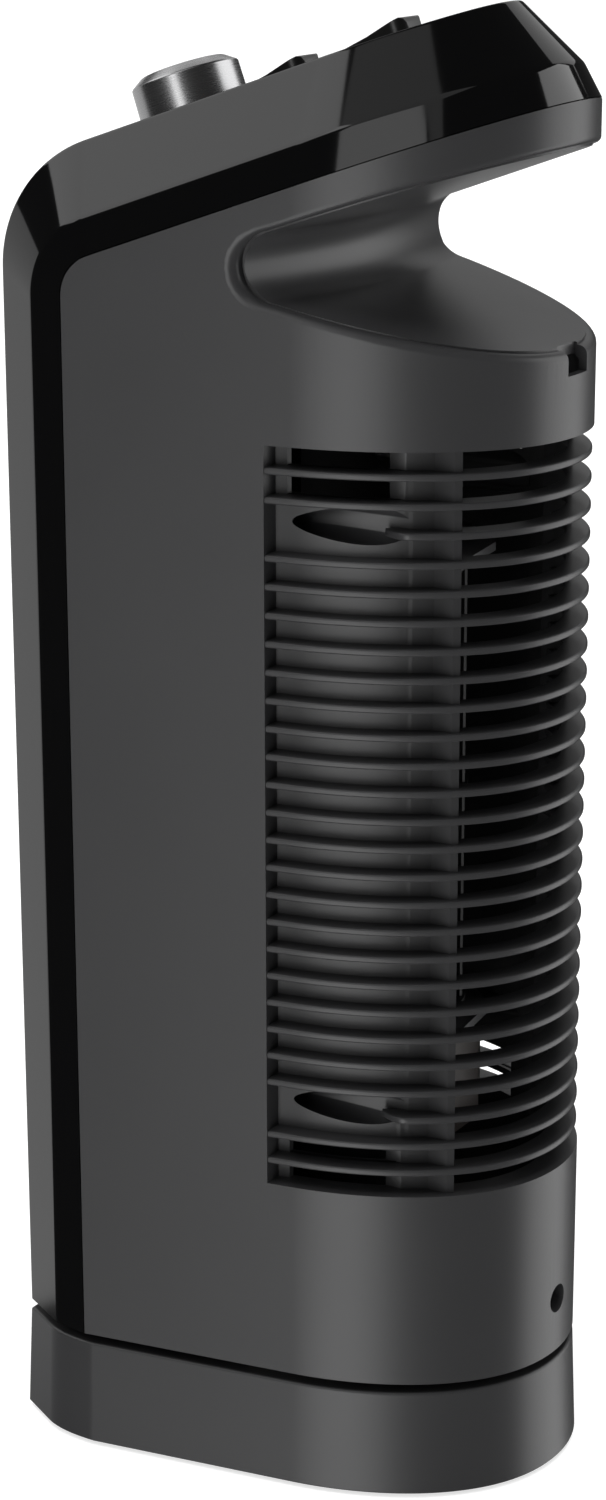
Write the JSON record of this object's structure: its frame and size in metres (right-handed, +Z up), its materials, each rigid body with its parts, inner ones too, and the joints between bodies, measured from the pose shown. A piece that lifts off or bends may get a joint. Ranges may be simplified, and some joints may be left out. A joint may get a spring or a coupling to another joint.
{
  "type": "ceramic space heater",
  "caption": "Swinging ceramic tower heater with a carry recess, louvred rear intake, sloped control top, dial and rocker switches.",
  "frame": {"origin": "centre of the overall box on the floor under the feet", "axes": "+Z up, the warm air outlet faces -Y, +X is the heater's left side seen from the front"},
  "size_m": [0.1296, 0.1634, 0.4227],
  "materials": {
    "matte": "fine matte dark grey moulding",
    "gloss": "glossy black",
    "black": "matte black",
    "satin": "satin silver plating over plastic",
    "steel": "plain steel",
    "alu": "folded aluminium fins",
    "zinc": "zinc plated",
    "rubber": "soft black rubber",
    "nylon": "natural nylon",
    "mica": "heat-resistant moulding",
    "copper": "varnished copper winding",
    "amber": "clear amber lens"
  },
  "bodies": {
    "base": {"base_shell": "matte", "base_plate": "matte", "tip_over_switch": "black", "swing_motor": "steel", "turntable_ring": "nylon", "foot_1": "rubber", "foot_2": "rubber", "foot_3": "rubber", "foot_4": "rubber", "base_screw_1": "zinc", "base_screw_2": "zinc", "base_screw_3": "zinc", "base_screw_4": "zinc"},
    "crank": {"swing_crank": "nylon"},
    "link": {"swing_link": "steel"},
    "knob": {"thermostat_knob": "satin", "thermostat_shaft": "steel"},
    "rocker_front": {"rocker_1": "black"},
    "rocker_back": {"rocker_2": "black"},
    "fan": {"fan_wheel": "black", "fan_shaft": "steel"},
    "tower": {"tower_floor": "black", "pivot_retainer": "steel", "rear_shell": "matte", "front_bezel": "gloss", "outlet_grille": "black", "blower_housing": "black", "fan_motor": "steel", "motor_coil": "copper", "motor_bracket": "zinc", "bearing_bush": "nylon", "heater_frame": "mica", "ptc_bank_1": "alu", "ptc_bank_2": "alu", "ptc_bank_3": "alu", "thermal_cutout": "zinc", "rear_screw": "zinc", "control_panel": "black", "indicator_lens": "amber", "thermostat_body": "zinc", "switch_body_1": "black", "switch_body_2": "black", "well_screw_1": "zinc", "well_screw_2": "zinc", "well_screw_3": "zinc", "well_screw_4": "zinc"}
  },
  "joints": [
    {"name": "swing", "type": "hinge", "parent": "base", "child": "tower", "pos_m": [0, 0.00355, 0.034], "axis": [0, 0, 1], "range_deg": [-30, 30]},
    {"name": "thermostat_turn", "type": "hinge", "parent": "tower", "child": "knob", "pos_m": [0, -0.04095, 0.38698], "axis": [0, -0.3387, 0.9409], "range_deg": [-270, 0]},
    {"name": "rocker_1_tip", "type": "hinge", "parent": "tower", "child": "rocker_front", "pos_m": [0, -0.01256, 0.3955], "axis": [1, 0, 0], "range_deg": [-11, 0]},
    {"name": "rocker_2_tip", "type": "hinge", "parent": "tower", "child": "rocker_back", "pos_m": [0, 0.01943, 0.40702], "axis": [1, 0, 0], "range_deg": [-11, 0]},
    {"name": "fan_spin", "type": "hinge", "parent": "tower", "child": "fan", "pos_m": [0, 0.01755, 0.2], "axis": [0, 0, 1], "continuous": true},
    {"name": "crank_spin", "type": "hinge", "parent": "base", "child": "crank", "pos_m": [0.024, -0.04145, 0.022], "axis": [0, 0, 1], "continuous": true},
    {"name": "link_turn", "type": "hinge", "parent": "tower", "child": "link", "pos_m": [0.024, 0.00355, 0.025], "axis": [0, 0, 1], "range_deg": [-30, 30]}
  ],
  "couplings": [
    {"joint": "link_turn", "follows": "swing", "ratio": -1}
  ]
}
